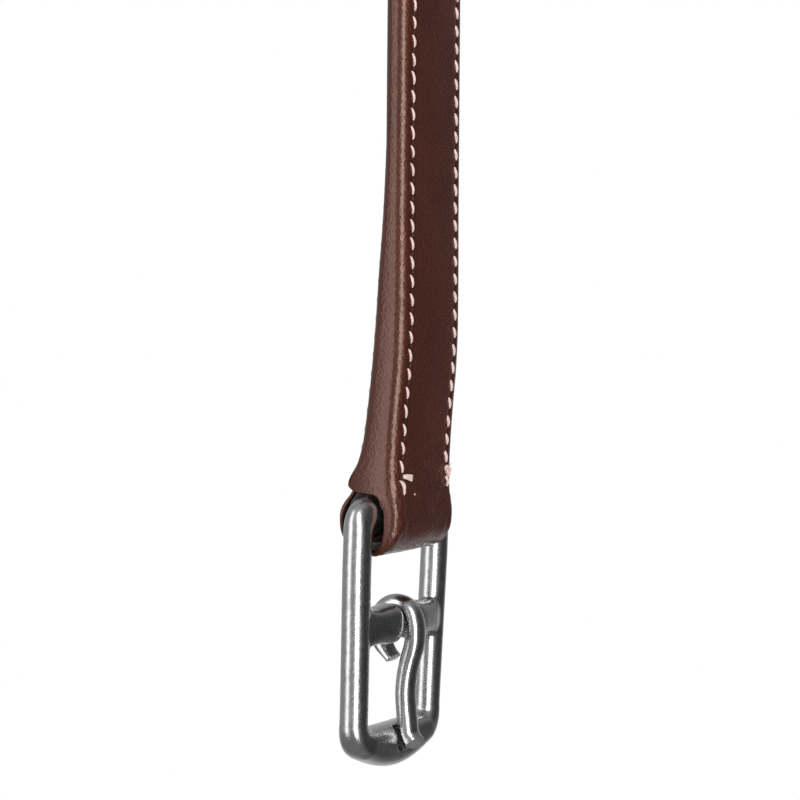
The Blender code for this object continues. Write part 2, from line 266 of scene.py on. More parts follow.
def round_ring(centre, side, up, wide, high, count, square=1.0):
    """A rounded ring of points round a centre: square below 1 fills its corners out."""
    ring = []
    for i in range(count):
        angle = 2 * math.pi * i / count
        c, s = math.cos(angle), math.sin(angle)
        c = math.copysign(abs(c) ** square, c)
        s = math.copysign(abs(s) ** square, s)
        ring.append(tuple(centre + side * (wide * c) + up * (high * s)))
    return ring


def place(piece, body, slot, *nodes):
    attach(piece, body)
    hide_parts(*nodes)


# ---------------------------------------------------------------- materials


WARM_SHINE = (1.0, 0.71, 0.62, 1.0)
# Near-black colour of the painted shade in stitch holes, on the rim by the bar and on the cover's
# inner faces.
PAINTED_SHADE_COLOR = (0.002, 0.001, 0.0008)


class Nodes:
    """A material's node tree, with short calls for the nodes used here."""

    def __init__(self, name, color, roughness, metallic=0.0, **sockets):
        self.material = bpy.data.materials.new(name)
        self.material.use_nodes = True
        self.tree = self.material.node_tree
        self.shader = self.tree.nodes["Principled BSDF"]
        self.set(self.shader, "Base Color", (*color, 1.0))
        self.set(self.shader, "Roughness", roughness)
        self.set(self.shader, "Metallic", metallic)
        for key, value in sockets.items():
            self.set(self.shader, key.replace("_", " ").title().replace("Ior", "IOR"), value)
        self.place = self.tree.nodes.new("ShaderNodeTexCoord").outputs["Object"]

    def set(self, node, socket, value):
        if isinstance(value, bpy.types.NodeSocket):
            self.tree.links.new(value, node.inputs[socket])
        else:
            node.inputs[socket].default_value = value

    def make(self, kind, settings=None, **inputs):
        node = self.tree.nodes.new(kind)
        for key, value in (settings or {}).items():
            setattr(node, key, value)
        for key, value in inputs.items():
            self.set(node, key if not key.startswith("i") else int(key[1:]), value)
        return node.outputs[0]

    def stretched(self, scale):
        return self.make("ShaderNodeMapping", Vector=self.place, Scale=scale)

    def noise(self, scale, detail=2.0, place=None, roughness=0.5):
        place = place or self.place
        return self.make(
            "ShaderNodeTexNoise", Vector=place, Scale=scale, Detail=detail, Roughness=roughness
        )

    def cells(self, scale):
        return self.make(
            "ShaderNodeTexVoronoi", {"feature": "SMOOTH_F1"}, Vector=self.place, Scale=scale
        )

    def range(self, value, low, high, to_low, to_high):
        node = self.tree.nodes.new("ShaderNodeMapRange")
        for i, v in enumerate((value, low, high, to_low, to_high)):
            self.set(node, i, v)
        return node.outputs[0]

    def math(self, what, one, two=0.0):
        return self.make("ShaderNodeMath", settings={"operation": what}, i0=one, i1=two)

    def mix(self, share, one, two):
        node = self.tree.nodes.new("ShaderNodeMix")
        node.data_type = "RGBA"
        self.set(node, 0, share)
        self.set(node, 6, one if isinstance(one, bpy.types.NodeSocket) else (*one, 1.0))
        self.set(node, 7, two if isinstance(two, bpy.types.NodeSocket) else (*two, 1.0))
        return node.outputs[2]

    def bump(self, height, distance, before=None):
        node = self.tree.nodes.new("ShaderNodeBump")
        self.set(node, "Height", height)
        self.set(node, "Distance", distance * MM)
        self.set(node, "Strength", 1.0)
        if before is not None:
            self.set(node, "Normal", before)
        return node.outputs[0]

    def worn(self):
        node = self.tree.nodes.new("ShaderNodeAttribute")
        node.attribute_name = "worn"
        return node.outputs["Fac"]


def leather_look(name, color, roughness, grain, shine):
    """Fine pebbled leather. The mesh's painted light value is above 0 on creases, where it paints
    highlight, and below 0 where it paints shade: in holes, on the rim by the bar and on the cover's
    inner faces.
    """
    look = Nodes(name, color, roughness, ior=shine, specular_tint=WARM_SHINE)
    worn = look.worn()
    hole = look.range(worn, -1.0, 0.0, 1.0, 0.0)
    crease = look.range(worn, 0.0, 1.0, 0.0, 1.0)
    tone = look.range(look.noise(90, 3.0), 0.3, 0.7, 0.0, 1.0)
    base = look.mix(tone, scaled(color, 0.86), scaled(color, 1.16))
    # Creases are lightened: painted highlight.
    base = look.mix(crease, base, scaled(color, 1.6, 0.015))
    # Where the value is below 0 the colour goes near-black: painted shade.
    look.set(look.shader, "Base Color", look.mix(hole, base, PAINTED_SHADE_COLOR))
    pebble = look.cells(1750)
    fine = look.noise(4200)
    grainy = look.math("ADD", look.math("MULTIPLY", pebble, 4.0), look.math("MULTIPLY", fine, 0.3))
    wrinkle = look.noise(520)
    rough = look.range(look.noise(1500), 0.3, 0.7, roughness - 0.05, roughness + 0.07)
    look.set(look.shader, "Roughness", look.math("ADD", rough, look.math("MULTIPLY", hole, 0.4)))
    soft = look.bump(wrinkle, 0.03)
    look.set(look.shader, "Normal", look.bump(grainy, grain, before=soft))
    return look.material


def webbing_look(name, color):
    """Woven nylon: over and under in two directions, across and along the band."""
    look = Nodes(name, color, 0.75, sheen_weight=0.3, sheen_roughness=0.5)
    across = look.make(
        "ShaderNodeTexWave", settings={"bands_direction": "X"}, Vector=look.place, Scale=420.0
    )
    along = look.make(
        "ShaderNodeTexWave", settings={"bands_direction": "Z"}, Vector=look.place, Scale=300.0
    )
    weave = look.math("MAXIMUM", across, along)
    fibre = look.noise(9000)
    # Darker in the weave's hollows: painted shade.
    look.set(look.shader, "Base Color", look.mix(weave, scaled(color, 0.4), color))
    height = look.math("ADD", weave, look.math("MULTIPLY", fibre, 0.3))
    look.set(look.shader, "Normal", look.bump(height, 0.12))
    return look.material


def thread_look(name, color):
    look = Nodes(name, color, 0.72, sheen_weight=0.25, sheen_roughness=0.4)
    fibre = look.noise(6500, 3.0, look.stretched((1.0, 1.0, 0.35)))
    shade = look.range(look.noise(900, 2.0), 0.35, 0.65, 0.0, 1.0)
    tone = look.mix(shade, scaled(color, 0.86), color)
    look.set(look.shader, "Base Color", tone)
    look.set(look.shader, "Normal", look.bump(fibre, 0.09))
    return look.material


def steel_look(name, color, roughness, wave):
    """Tumbled and polished cast steel: fine scratches along it and a slightly wavy surface."""
    look = Nodes(name, color, roughness, 1.0)
    scratch = look.noise(2600, 3.0, look.stretched((1.0, 1.0, 0.3)), 0.6)
    pit = look.noise(3800)
    rough = look.range(scratch, 0.3, 0.7, roughness - 0.06, roughness + 0.08)
    look.set(look.shader, "Roughness", rough)
    tone = look.range(look.noise(700, 3.0), 0.3, 0.7, 0.0, 1.0)
    look.set(look.shader, "Base Color", look.mix(tone, scaled(color, 0.82), color))
    swell = look.bump(look.noise(230, 1.0), wave)
    mixed = look.math("ADD", scratch, look.math("MULTIPLY", pit, 0.5))
    look.set(look.shader, "Normal", look.bump(mixed, 0.0016, before=swell))
    return look.material


# ---------------------------------------------------------------- the strap's run


class Station:
    """One place along the strap: a point on its outer face, the way that face looks, and the
    section there. Run is the distance up the strap from the height of the buckle's bar."""

    def __init__(self, run, y, z, ny, nz, depth=SINGLE, flap=FLAP_EDGE, **more):
        self.run, self.y, self.z, self.ny, self.nz = run, y, z, ny, nz
        self.depth, self.flap = depth, flap
        self.half = more.get("half", HALF_WIDTH)
        self.back_corner = more.get("back_corner", BACK_CORNER)
        self.slant = more.get("slant", 0.0)
        self.crease = more.get("crease", 0.0)
        self.rim = more.get("rim", 0.0)
        self.full = more.get("full", depth)

    def at(self, x, depth):
        depth -= self.slant * (0.04 - 0.04 * x)
        return Vector((x, self.y - self.ny * depth, self.z - self.nz * depth))


def straight_station(height):
    """A level cut through the straight strap or through the fold over the bar."""
    front = eased(FRONT_FACE, height)
    depth = eased(BACK_FACE, height) - front
    corner = 0.4 + (BACK_CORNER - 0.4) * step_between(6.4, 17.0, height)
    flap = FLAP_EDGE + (HALF_WIDTH - corner - FLAP_EDGE) * (
        1 - step_between(FLAP_GONE, FLAP_FULL, height)
    )
    if height < FLAP_GONE:
        depth = eased(WALL_EDGE, height)
        flap = HALF_WIDTH - corner
    return Station(
        height, BAR_Y + front, BAR_Z + height, -1, 0, depth, flap, back_corner=corner,
        slant=0.25 * (1 - step_between(0, 14, height)), crease=1 - step_between(4, 22, height),
        rim=RIM_SHADE * (1 - step_between(6.2, 6.9, height)),
        full=eased(BACK_FACE, height) - front,
    )


def bend_run(spacing, top):
    """From the straight strap's top, round the bend, up to where it meets the roll."""
    length = BEND_RADIUS * (math.pi / 2 - LEAVE_ANGLE)
    count = round(length / spacing)
    found = []
    for step in range(1, count):
        angle = length * step / count / BEND_RADIUS
        cy, cz = math.cos(angle), math.sin(angle)
        found.append(
            Station(
                top + length * step / count,
                BEND_Y + BEND_RADIUS * cy, BEND_Z + BEND_RADIUS * cz, -cy, -cz,
            )
        )
    return found, top + length


def roll_run(first_spacing, spacing, start):
    """In round the turns to the strap's tip at the eye."""
    found, turn, run = [], 0.0, start
    while turn < 2 * math.pi * TURNS:
        radius = OUTER_RADIUS - PITCH * turn / (2 * math.pi)
        ny, nz = -math.sin(LEAVE_ANGLE + turn), -math.cos(LEAVE_ANGLE + turn)
        found.append(Station(run, radius * ny, radius * nz, ny, nz))
        gap = first_spacing if turn < 2.2 * math.pi else spacing
        turn += gap / radius
        run += gap
    for station in found:
        from_tip = (found[-1].run - station.run) / TIP_LENGTH
        if from_tip < 1:
            station.half *= TIP_WIDTH + (1 - TIP_WIDTH) * math.sqrt(max(0.0, 1 - (1 - from_tip) ** 2))
    return found


def loop_run():
    """Round under the bar and up inside the back of the strap, under its flaps."""
    nodes = [Vector((eased(FRONT_FACE, h), h)) for h in (5.8, 4.4)]
    nodes.append(Vector((eased(FRONT_FACE, LOOP_TOP), LOOP_TOP)))
    for step in range(9):
        angle = math.pi * (1 + step / 8)
        nodes.append(Vector((LOOP_RADIUS * math.cos(angle), LOOP_RADIUS * math.sin(angle))))
    nodes += [Vector((7.3, LOOP_TOP)), Vector((5.8, 5.4))]
    for height in (7.4, 12.0, 18.0, 26.0, 34.0, 43.0, 53.0, 69.0, 84.0, 119.0):
        nodes.append(Vector((eased(BACK_FACE, height) - LEATHER - GAP, height)))
    parts = 6
    line = through(nodes, parts)[2 * parts + 1 :]
    found, run = [], LOOP_TOP
    for i in range(1, len(line)):
        here = line[i]
        ahead = line[min(i + 1, len(line) - 1)] - line[i - 1]
        run -= (here - line[i - 1]).length
        along = ahead.normalized()
        normal = Vector((along.y, -along.x))
        angle = math.degrees(math.atan2(here.y, here.x)) % 360
        under = here.y < 0
        near_bar = here.y < FLAP_GONE + 0.6
        in_front = under or here.x < 0 and near_bar
        if in_front:
            wall = eased(LOOP_WALL, angle)
            half = HALF_WIDTH
        else:
            wall = LEATHER
            half = FOLD_BACK_HALF + (HALF_WIDTH - FOLD_BACK_HALF) * (
                1 - step_between(0.5, 5.5, here.y)
            )
        slant = 0.25 + 0.75 * bump(angle - 265, 60) if in_front else 0.0
        if here.x > 0 and here.y > -3:
            slant *= 1 - step_between(-3, 1, here.y)
        crease = (1 - step_between(2, 7, here.x)) * (1.0 if under else 0.6) if near_bar else 0.0
        corner = min(0.45, wall / 2)
        found.append(
            Station(
                run, BAR_Y + here.x, BAR_Z + here.y, normal.x, normal.y, wall, half - corner,
                half=half, back_corner=corner, slant=slant, crease=crease,
                rim=RIM_SHADE if in_front else 0.0,
                full=WALL_TOP_DEPTH + 30 * step_between(180, 240, angle),
            )
        )
    return found


def strap_runs():
    """The hanging strap from its tip down to the fold, and the loop with its fold-back."""
    top = BEND_Z - BAR_Z
    fine = [LOOP_TOP + k / 3 * 0.5 for k in range(1, 27)]
    fine = [h for h in fine if h < FLAP_GONE]
    step = STITCH / 12
    stitched = [FLAP_GONE + k * step for k in range(int((top - FLAP_GONE) / step))]
    straight = [straight_station(height) for height in fine + stitched]
    bend, end = bend_run(1.0, top)
    roll = roll_run(1.0, 2.6, end)
    return (straight + bend + roll)[::-1], loop_run()


HANGING, LOOP = strap_runs()
LANE = np.array(
    [(s.run, s.y, s.z, s.ny, s.nz, s.depth, s.slant) for s in LOOP[::-1] + HANGING[::-1]]
)


def station_at(run):
    """The strap's station at a distance up it, between the ones that its skin uses."""
    y, z, ny, nz, depth, slant = (np.interp(run, LANE[:, 0], LANE[:, k]) for k in range(1, 7))
    size = math.hypot(ny, nz)
    return Station(run, y, z, ny / size, nz / size, depth, slant=slant)


def holes(side):
    """Where the awl's holes are along a row, from its end up to just short of the strap's tip."""
    count = int((HANGING[0].run - SEWN_TO - ROW_END[side]) / STITCH)
    return [ROW_END[side] + STITCH * k for k in range(count)]


# ---------------------------------------------------------------- leather


FRONT_XS = (9.46, 9.32, 9.18, 9.04, 8.9, 8.76, 8.62, 8.48, 8.3, 8.0, 7.2, 5.4, 3.6, 1.8)
FLAP_SHARES = (0.0, 0.04, 0.25, 0.45, 0.6, 0.68, 0.74, 0.8, 0.88, 1.0)
WALL_SHARES = (0.1, 0.22, 0.36, 0.5, 0.64, 0.78, 0.9)


def half_outline(s):
    """The outer line of half the cover's section, from its flap's edge to its middle, as
    (distance from the middle, depth, which face)."""
    h, t = s.half, s.depth
    front, back = min(FRONT_CORNER, t * 0.52, h / 3), min(s.back_corner, t * 0.45)
    flap_end = h - back
    flap_start = min(s.flap * h / HALF_WIDTH, flap_end)
    line = []
    for share in FLAP_SHARES:
        soft = 0.12 if share == 0 else 0.0
        line.append((flap_start + (flap_end - flap_start) * share, t - soft, "back"))
    for step in range(1, 6):
        angle = math.pi / 2 * step / 6
        line.append((flap_end + back * math.sin(angle), t - back + back * math.cos(angle), "side"))
    for share in (0.0, *WALL_SHARES, 1.0):
        line.append((h, (t - back) * (1 - share) + front * share, "side"))
    for step in range(1, 15):
        angle = math.pi / 2 * (step / 14) ** 0.85
        line.append((h - front + front * math.cos(angle), front - front * math.sin(angle), "side"))
    scale = h / HALF_WIDTH
    return line + [(x * scale, 0.0, "front") for x in FRONT_XS]


def row_x(side, run):
    """How far a row is from the strap's middle."""
    return eased(ROW_X[side], run)


def dent(run, x, side):
    """How deep the row's groove and the nearest hole press into the face, and how much painted shade
    the hole gets.
    """
    over = step_between(ROW_END[side] - 2.5, ROW_END[side] + 1.5, run)
    away = abs(x) - row_x(side, run)
    groove = (0.15 if side < 0 else 0.08) * bump(away, 0.7) * over
    step = round((run - ROW_END[side]) / STITCH)
    if step < 0:
        return groove, 0.0
    along = run - ROW_END[side] - step * STITCH
    lean = -along * SLANT[side] * 0.6 * side
    hole = bump(along, 0.6) * bump(away + lean, 0.36)
    deep = 1.0 if side < 0 else 0.3
    return groove + 0.45 * deep * hole, min(1.0, 1.8 * deep * hole)


def cover_ring(s):
    """The cover's closed section, with its stitch grooves and holes, its full sides, its creases
    at the loop and slight unevenness. Returns its points and their painted light values: painted
    shade in holes, on the rim by the bar and on the inner faces, and painted highlight on creases."""
    h, t, a = s.half, s.depth, LEATHER
    ring, shades = [], []
    half = half_outline(s)
    sides = [(-1, p) for p in half] + [(-1, (0.0, 0.0, "front"))] + [(1, p) for p in half[::-1]]
    wide = s.half > HALF_WIDTH - 0.01
    for side, (x, d, face) in sides:
        spot = Vector((side * x, s.run, 0.0))
        shade = 0.0
        if wide:
            swell = noise.noise(spot * 0.11 + Vector((3.0, 0.0, 0.0)))
            if face == "side":
                m = d / s.full
                x += s.full * (0.14 * m * (1 - m) - 0.052 * m * m) + 0.07 * swell * min(1.0, m * 4)
            if face == "front" or face == "side" and d < 0.6:
                pressed, dark = dent(s.run, x, side)
                d += pressed
                if face == "front":
                    d += 0.05 * swell - 0.1 * bump(x, 6.0)
                # Painted shade in the stitch hole.
                shade -= dark
            if face == "back" and t > 3:
                pressed, dark = dent(s.run, x, side)
                d -= pressed
                # Painted shade in the stitch hole.
                shade -= dark
        # Painted shade on the wall's rim by the bar.
        if s.rim > 0 and d > t - 0.5:
            shade -= s.rim * step_between(t - 0.5, t - 0.1, d)
        if s.crease > 0 and face != "back" and d < 5:
            fold = noise.noise(Vector((side * x * 0.55 + s.run * 0.16, s.run * 0.12, 7.0)))
            small = noise.noise(Vector((side * x * 1.5 - s.run * 0.3, s.run * 0.3, 2.0)))
            corner = bump(side * x + 11.4, 1.6)
            tiny = noise.noise(Vector((side * x * 2.2 + s.run * 0.9, s.run * 0.7 + d * 1.2, 5.0)))
            d += s.crease * (0.10 * fold + 0.05 * small + 0.2 * corner * tiny)
            # Creases and the loop's corner are lightened: painted highlight.
            shade += s.crease * max(0.0, 0.3 * small + 0.8 * corner * (0.25 + tiny))
        ring.append(tuple(s.at(side * x, d)))
        shades.append(shade)
    low, high = max(t - a, a), min(s.flap * h / HALF_WIDTH, h - a)
    cut = min(0.9, (low - a) * 0.4)
    inner = [(high, low), (h - a - cut, low), (h - a, low - cut), (h - a, a + cut), (h - a - cut, a)]
    inner += [(-x, d) for x, d in inner[::-1]]
    ring += [tuple(s.at(x, d)) for x, d in inner]
    # The inner faces get painted shade: near-black.
    return ring, shades + [-0.9] * len(inner)


def make_cover(look):
    shape = Shape()
    rings, shades = zip(*(cover_ring(s) for s in HANGING + LOOP))
    shape.tube(list(rings), shades=list(shades))
    return shape.build("wrapped_cover", [look], sharp=60)


def band_ring(s, half, near, far, rounding=0.3):
    """A flat band's section with rounded edges, between two depths."""
    reach = min(rounding, (far - near) * 0.45)
    corners = ((-1, 0, near), (1, 0, near), (1, 1, far), (-1, 1, far))
    ring = []
    for k, (side, deep, depth) in enumerate(corners):
        for step in range(4):
            angle = math.pi / 2 * step / 3
            a, b = math.sin(angle), math.cos(angle)
            if k % 2 == 0:
                a, b = b, a
            x = side * (half - reach + reach * a)
            d = depth + (reach - reach * b) * (1 if deep == 0 else -1)
            ring.append(tuple(s.at(x, d)))
    return ring


def sparse(stations, spacing):
    found = [stations[0]]
    for s in stations[1:-1]:
        if abs(s.run - found[-1].run) >= spacing:
            found.append(s)
    return found + [stations[-1]]


def make_core(look):
    """The load-bearing webbing: down the strap, round the bar, and back up."""
    shape = Shape()
    stations = [s for s in HANGING if s.run < HANGING[0].run - TIP_LENGTH]
    stations = sparse(stations, 1.6) + LOOP[1:-2]
    rings = []
    for s in stations:
        flat = Station(s.run, s.y, s.z, s.ny, s.nz, s.depth, slant=s.slant * 0.6)
        rings.append(band_ring(flat, CORE_HALF, CORE_FRONT, CORE_BACK, 0.5))
    shape.tube(rings)
    return shape.build("woven_core", [look])


def make_back_strip(look):
    shape = Shape()
    stations = [s for s in HANGING if FLAP_FULL + 0.2 < s.run < HANGING[0].run - TIP_LENGTH]
    rings = [
        band_ring(s, BACK_STRIP_HALF, s.depth - LEATHER, s.depth - 0.03, 0.25)
        for s in sparse(stations, 1.3)
    ]
    shape.tube(rings)
    return shape.build("back_closing_strip", [look])


def make_lining(look):
    shape = Shape()
    under = [s for s in LOOP if s.z < BAR_Z]
    rings = []
    for s in under:
        flat = Station(s.run, s.y, s.z, s.ny, s.nz, s.depth, slant=s.slant * 0.3)
        far = LOOP_RADIUS - TOP_BAR_RADIUS - GAP
        rings.append(band_ring(flat, CORE_HALF, CORE_BACK + GAP, far, 0.4))
    shape.tube(rings)
    return shape.build("bar_liner", [look])


def make_wedge(look):
    """The filler between the core's two runs, over the bar."""
    shape = Shape()
    rings = []
    heights = [7.6 + 1.2 * k for k in range(38)]
    for height in heights[::-1]:
        s = straight_station(height)
        near, far = CORE_BACK + GAP, s.depth - LEATHER - GAP - CORE_BACK - GAP
        if far - near > 0.35:
            rings.append(band_ring(s, CORE_HALF - 0.3 * bump(height - 7.6, 1.0), near, far, 0.8))
    shape.tube(rings)
    return shape.build("fold_filler", [look])


def make_keeper(leather, thread):
    """A leather loop round the turns, with two short rows of stitches on one side."""
    shape = Shape()
    angle = LEAVE_ANGLE + math.radians(25)
    out = Vector((0, -math.sin(angle), -math.cos(angle)))
    along = Vector((0, -math.cos(angle), math.sin(angle)))
    across = Vector((1, 0, 0))
    thick, half_long, radius = 1.2, 4.5, 1.4
    half_x = HALF_WIDTH + 0.4 + thick / 2
    low, high = EYE_RADIUS + 1.8 - thick / 2, OUTER_RADIUS + 0.3 + thick / 2
    route = []
    for k, (sx, r) in enumerate(((1, low), (1, high), (-1, high), (-1, low))):
        sr = 1 if r == high else -1
        for step in range(7):
            turn = -math.pi / 2 + math.pi / 2 * (k + step / 6)
            centre = across * (sx * (half_x - radius)) + out * (r - sr * radius)
            route.append((centre, across * math.cos(turn) + out * math.sin(turn)))
    rings = []
    for centre, normal in route:
        spot = centre + normal * radius
        ring = []
        for x, y in rounded_box(half_long, thick / 2, 0.4, 4):
            ring.append(tuple(spot + along * x + normal * y))
        rings.append(ring)
    shape.tube(rings, closed=True)
    for row in (-1, 1):
        for k in range(7):
            r = low + 5.5 + 3.4 * k
            ends = [
                across * (half_x + thick / 2) + out * (r + d) + along * (row * 3.1)
                for d in (-1.15, 1.15)
            ]
            add_thread(shape, ends, across, 0.3, 0.28, 6, look=1)
    return shape.build("keeper_loop", [leather, thread])


def rounded_box(half_wide, half_high, radius, steps):
    """A rounded rectangle's points, going round once."""
    points = []
    for k, (sx, sy) in enumerate(((1, 1), (-1, 1), (-1, -1), (1, -1))):
        for step in range(steps + 1):
            angle = math.pi / 2 * (k + step / steps)
            x = sx * (half_wide - radius) + radius * math.cos(angle)
            y = sy * (half_high - radius) + radius * math.sin(angle)
            points.append((x, y))
    return points


# ---------------------------------------------------------------- thread


def add_thread(shape, ends, up, radius, rise, sides, look=0, sway=0.0):
    """One stitch: a soft tube from hole to hole that rises out of one and dives into the other."""
    start, end = ends
    taper, dive = 0.45, 0.5
    steps = 7
    side = up.cross(end - start).normalized()
    rings = []
    for k in range(steps + 1):
        u = k / steps
        arch = math.sin(math.pi * min(1.0, max(0.0, u))) ** 0.5
        full = math.sin(math.pi * u**0.85) ** 0.6 if 0 < u < 1 else 0.0
        centre = start.lerp(end, u) + up * (rise * arch - dive * (1 - arch))
        centre += side * (sway * (step_between(0.0, 1.0, u) - 0.5))
        size = radius * (taper + (1 - taper) * full)
        rings.append(round_ring(centre, side, up, size, size * 0.85, sides))
    shape.tube(rings, look=look)


def make_row(name, look, side, on_back):
    """One row of stitches, from its end above the fold up to the strap's tip."""
    shape = Shape()
    places = holes(side)
    for low, high in zip(places, places[1:]):
        jitter = [LUCK.uniform(-0.12, 0.12) for _ in range(3)]
        top, bottom = station_at(high - 0.35 + jitter[0]), station_at(low + 0.4 + jitter[1])
        x, lean = side * row_x(side, (low + high) / 2), SLANT[side] * 0.3
        drop = 0.12 + corner_drop(x)
        deep = (lambda s: s.depth - drop) if on_back else (lambda s: drop)
        ends = [top.at(x - lean, deep(top)), bottom.at(x + lean, deep(bottom))]
        up = Vector((0, top.ny + bottom.ny, top.nz + bottom.nz)).normalized()
        if on_back:
            up = -up
        thick = THREAD_RADIUS * (1 + 0.25 * jitter[2]) * (1.0 if side < 0 else 1.2)
        add_thread(
            shape, ends, up, thick, 0.17, 8 if high < NEAR_BUCKLE else 6,
            sway=0.35 * (-1 if on_back else 1),
        )
    return shape.build(name, [look])


def strand(shape, points, radius, sides=7, ends=0.6):
    """A loose strand or fibre along a line of points."""
    rings = []
    for i, point in enumerate(points):
        along = (points[min(i + 1, len(points) - 1)] - points[max(i - 1, 0)]).normalized()
        side = along.cross(Vector((0.3, 0.8, 0.5))).normalized()
        up = side.cross(along)
        tip = ends if i in (0, len(points) - 1) else 1.0
        rings.append(round_ring(point, side, up, radius * tip, radius * tip, sides))
    shape.tube(rings)


def corner_drop(x):
    """How far the face falls away towards the strap's rounded edge."""
    over = abs(x) - (HALF_WIDTH - FRONT_CORNER)
    return FRONT_CORNER - math.sqrt(max(FRONT_CORNER**2 - over * over, 0.0)) if over > 0 else 0.0


def on_front(x, height, proud):
    s = station_at(height)
    return s.at(x, corner_drop(x) - proud)


def make_left_end(look):
    """The left row's end: a cut tuft turned sideways, a wedge-shaped stitch under it, and the
    speck of thread that shows through beside them."""
    shape = Shape()
    for k in range(4):
        spread = k - 1.5
        points = [
            on_front(-10.0, 9.35 + 0.10 * spread, 0.1),
            on_front(-9.4, 9.35 + 0.16 * spread, 0.36),
            on_front(-8.4, 9.2 + 0.26 * spread, 0.5),
            on_front(-7.4, 9.0 + 0.33 * spread, 0.56 + 0.05 * k),
        ]
        strand(shape, through(points, 3), 0.3, 8, 0.95)
    wedge = []
    line = through([on_front(-10.5, 8.5, -0.1), on_front(-10.2, 7.8, 0.3), on_front(-10.0, 6.9, 0.3),
                    on_front(-9.8, 5.9, 0.12), on_front(-9.75, 5.4, -0.2)], 4)
    for i, point in enumerate(line):
        share = i / (len(line) - 1)
        wide = 0.34 + 0.48 * bump(share - 0.24, 0.3) - 0.18 * share
        wedge.append(round_ring(point, Vector((1, 0, 0)), Vector((0, -1, 0)), wide, 0.3, 8))
    shape.tube(wedge)
    strand(shape, [on_front(-5.6, 5.6, 0.0), on_front(-5.5, 5.45, 0.12),
                   on_front(-5.35, 5.25, 0.0)], 0.16)
    return shape.build("left_row_tuft", [look])


def make_right_end(look):
    """The right row's end: a small fuzzy knot with loose fibres, and its last short stitches."""
    shape = Shape()
    for turn in range(4):
        angle = turn * 1.3
        line = []
        for k in range(7):
            swing = angle + k * 1.05
            line.append(
                on_front(
                    8.7 + 0.62 * math.cos(swing),
                    10.6 + 0.75 * math.sin(swing) - 0.15 * turn,
                    0.3 + 0.16 * turn + 0.1 * math.sin(2 * swing),
                )
            )
        strand(shape, through(line, 3), 0.27, 7)
    for low, high in ((8.7, 10.2), (6.8, 9.0)):
        line = [on_front(8.4, high, 0.1), on_front(8.8, (low + high) / 2, 0.45),
                on_front(9.0, low, 0.05)]
        strand(shape, through(line, 4), 0.34, 8, 0.5)
    for _ in range(14):
        angle = LUCK.uniform(0, 2 * math.pi)
        reach = LUCK.uniform(0.9, 1.7)
        curl = LUCK.uniform(-0.5, 0.5)
        line = [
            on_front(
                8.8 + reach * share * math.cos(angle + curl * share),
                10.5 + reach * share * math.sin(angle + curl * share),
                0.4 + 0.7 * share,
            )
            for share in (0.0, 0.35, 0.7, 1.0)
        ]
        strand(shape, line, 0.055, 5, 0.5)
    return shape.build("right_row_knot", [look])


# ---------------------------------------------------------------- buckle


def side_bar(z):
    """A side bar's inner and outer x at a height: it leans in and thins towards the landing."""
    share = min(1.0, max(0.0, (-10.0 - z) / 32.0))
    middle, radius = SIDE_BAR_X - SIDE_BAR_TAPER * share, BAR_RADIUS - SIDE_BAR_THINNING * share
    return middle - radius, middle + radius


def frame_outline():
    """Half the buckle's ring as (inner point, outer point, half depth, squareness), from the
    top bar's middle round a corner, down a side bar and along the landing."""
    inner_x, outer_x = side_bar(0.0)
    r, top = BAR_RADIUS, TOP_BAR_RADIUS
    found = [((x, -top), (x, top), top, 1.0) for x in (0.0, 5.0, 9.0, 11.0)]
    steps = 12
    for step in range(steps + 1):
        turn = math.pi / 2 * (1 - step / steps)
        c, s = math.cos(turn), math.sin(turn)
        found.append(
            (
                (inner_x - TOP_INNER_CORNER * (1 - c), -top - TOP_INNER_CORNER * (1 - s)),
                (outer_x - TOP_CORNER * (1 - c), HEIGHT_ABOVE - TOP_CORNER * (1 - s)),
                r,
                1.0,
            )
        )
    for z in (-9, -12, -16, -20, -24, -28, -32, -36, -40):
        inner_x, outer_x = side_bar(z)
        found.append(((inner_x, z), (outer_x, z), r, 1.0))
    inner_x, outer_x = side_bar(LANDING_TOP)
    corner, start, inner_corner = LANDING_CORNER, LANDING_CORNER_END, LANDING_INNER_CORNER
    slope = math.atan(start / LANDING_BOW) - math.pi / 2
    low = -LENGTH_BELOW + start * start / (2 * LANDING_BOW)
    for step in range(steps + 1):
        share = step / steps
        turn, inner_turn = slope * share, -math.pi / 2 * share
        found.append(
            (
                (
                    inner_x - inner_corner * (1 - math.cos(inner_turn)),
                    LANDING_TOP + inner_corner * (1 + math.sin(inner_turn)),
                ),
                (
                    outer_x - corner + corner * math.cos(turn),
                    low + corner * (math.sin(turn) - math.sin(slope)),
                ),
                r + (LANDING_HALF_DEPTH - r) * share,
                1.0 - (1.0 - LANDING_SQUARENESS) * step_between(0, 1, share),
            )
        )
    for x in (10.0, 8.5, 7.0, 5.5, 4.0, 2.7, 1.3, 0.0):
        bottom = -LENGTH_BELOW + x * x / (2 * LANDING_BOW)
        inner = (x * 0.85, LANDING_TOP)
        found.append((inner, (x, bottom), LANDING_HALF_DEPTH, LANDING_SQUARENESS))
    return found


def solid(name, rings, closed=False):
    shape = Shape()
    shape.tube(rings, closed=closed)
    return shape.build(name, [])


def buckle_ring():
    half = frame_outline()
    whole = half + [
        ((-inner[0], inner[1]), (-outer[0], outer[1]), deep, square)
        for inner, outer, deep, square in half[-2:0:-1]
    ]
    rings = []
    for inner, outer, deep, square in whole:
        one, two = Vector((inner[0], 0, inner[1])), Vector((outer[0], 0, outer[1]))
        middle, span = (one + two) / 2, two - one
        rings.append(
            round_ring(middle, span.normalized(), Vector((0, 1, 0)), span.length / 2, deep, 40, square)
        )
    return solid("buckle_ring_form", rings, True)


